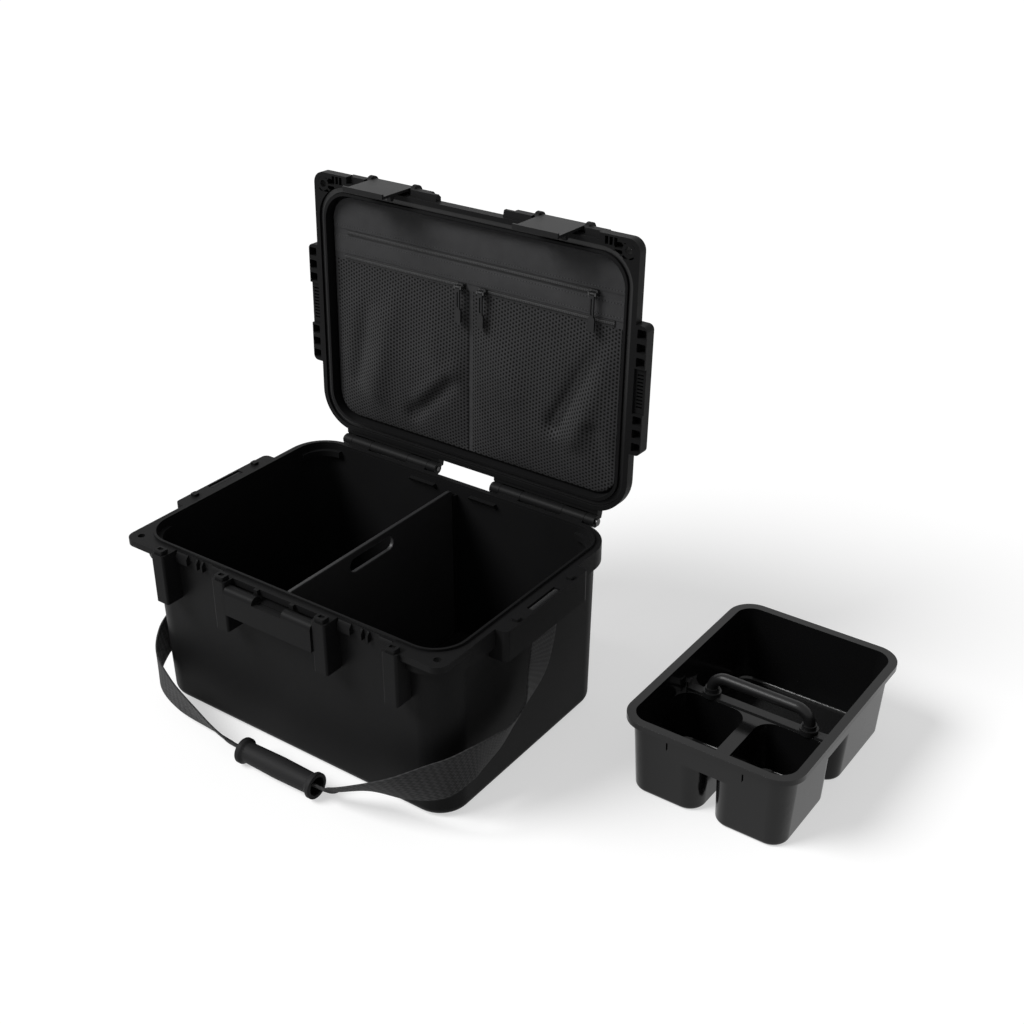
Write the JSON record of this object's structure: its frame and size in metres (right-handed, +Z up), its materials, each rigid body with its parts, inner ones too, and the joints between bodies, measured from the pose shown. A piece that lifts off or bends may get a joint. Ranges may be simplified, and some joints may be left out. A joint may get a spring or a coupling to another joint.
{
  "type": "lidded tool case with caddy tray",
  "caption": "Lidded storage case with draw latches, carrying strap, upright divider and a zipped lid organiser, with a lift-out caddy tray that has a raised handle.",
  "frame": {"origin": "centre of the case's underside, on the floor", "axes": "+X along the case's front to its right, -Y out of the front, +Y towards the hinge, +Z up"},
  "size_m": [0.8155, 0.528, 0.5879],
  "materials": {
    "case_plastic": "fine moulded texture",
    "divider_plastic": "smooth satin",
    "latch_plastic": "satin",
    "tray_plastic": "smooth glossy",
    "handle_plastic": "satin",
    "steel": "black oxide",
    "webbing": "woven webbing",
    "grip_rubber": "matt moulded",
    "gasket_rubber": "matt",
    "cloth": "plain weave",
    "zip_tape": "coil zip tape",
    "mesh": "open mesh",
    "zip_metal": "black lacquer",
    "pull_rubber": "matt moulded"
  },
  "bodies": {
    "case": {"case_tub": "case_plastic", "hinge_pins": "steel", "strap_bar_right": "steel", "strap_bar_left": "steel", "strap_webbing": "webbing"},
    "lid": {"lid_shell": "case_plastic", "lid_gasket": "gasket_rubber", "organiser_panel": "cloth", "organiser_top": "cloth", "organiser_band": "cloth", "top_zip": "zip_tape", "left_zip": "zip_tape", "right_zip": "zip_tape", "mesh_pocket_left": "mesh", "mesh_pocket_right": "mesh", "latch_pin_right": "steel", "latch_pin_left": "steel"},
    "latch_right": {"latch_lever_right": "latch_plastic", "latch_bar_right": "steel"},
    "latch_left": {"latch_lever_left": "latch_plastic", "latch_bar_left": "steel"},
    "divider": {"divider_panel": "divider_plastic"},
    "grip": {"strap_grip": "grip_rubber"},
    "tray": {"tray_moulding": "tray_plastic", "handle_base": "handle_plastic"},
    "tray_handle": {"handle_bar": "handle_plastic", "handle_stops": "handle_plastic"},
    "top_zip_slider": {"top_slider": "zip_metal"},
    "top_zip_pull": {"top_pull": "pull_rubber"},
    "left_zip_slider": {"left_slider": "zip_metal"},
    "left_zip_pull": {"left_pull": "pull_rubber"},
    "right_zip_slider": {"right_slider": "zip_metal"},
    "right_zip_pull": {"right_pull": "pull_rubber"}
  },
  "joints": [
    {"name": "lid_hinge", "type": "hinge", "parent": "case", "child": "lid", "pos_m": [0, 0.182, 0.226], "axis": [1, 0, 0], "range_deg": [0, 91.5]},
    {"name": "divider_lift", "type": "slide", "parent": "case", "child": "divider", "axis": [0, 0, -1], "range_m": [-0.235, 0]},
    {"name": "grip_slide", "type": "slide", "parent": "case", "child": "grip", "axis": [1, 0, 0], "range_m": [-0.002, 0.002]},
    {"name": "tray_lift", "type": "slide", "parent": "case", "child": "tray", "axis": [0, 0, 1], "range_m": [0, 0.25]},
    {"name": "tray_handle_lift", "type": "slide", "parent": "tray", "child": "tray_handle", "axis": [0, 0, 1], "range_m": [0, 0.032]},
    {"name": "latch_right_pivot", "type": "hinge", "parent": "lid", "child": "latch_right", "pos_m": [0.1255, 0.21321, 0.5773], "axis": [-1, 0, 0], "range_deg": [-8, 95]},
    {"name": "latch_left_pivot", "type": "hinge", "parent": "lid", "child": "latch_left", "pos_m": [-0.1255, 0.21321, 0.5773], "axis": [-1, 0, 0], "range_deg": [-8, 95]},
    {"name": "top_zip_run", "type": "slide", "parent": "lid", "child": "top_zip_slider", "axis": [1, 0, 0], "range_m": [-0.145, 0]},
    {"name": "top_pull_swing", "type": "hinge", "parent": "top_zip_slider", "child": "top_zip_pull", "pos_m": [0.178, 0.19405, 0.51028], "axis": [-1, 0, 0], "range_deg": [0, 70]},
    {"name": "left_zip_run", "type": "slide", "parent": "lid", "child": "left_zip_slider", "axis": [1, 0, 0], "range_m": [-0.17, 0]},
    {"name": "left_pull_swing", "type": "hinge", "parent": "left_zip_slider", "child": "left_zip_pull", "pos_m": [-0.014, 0.1932, 0.47779], "axis": [-1, 0, 0], "range_deg": [0, 70]},
    {"name": "right_zip_run", "type": "slide", "parent": "lid", "child": "right_zip_slider", "axis": [1, 0, 0], "range_m": [0, 0.145]},
    {"name": "right_pull_swing", "type": "hinge", "parent": "right_zip_slider", "child": "right_zip_pull", "pos_m": [0.02, 0.1932, 0.47779], "axis": [-1, 0, 0], "range_deg": [0, 70]}
  ]
}
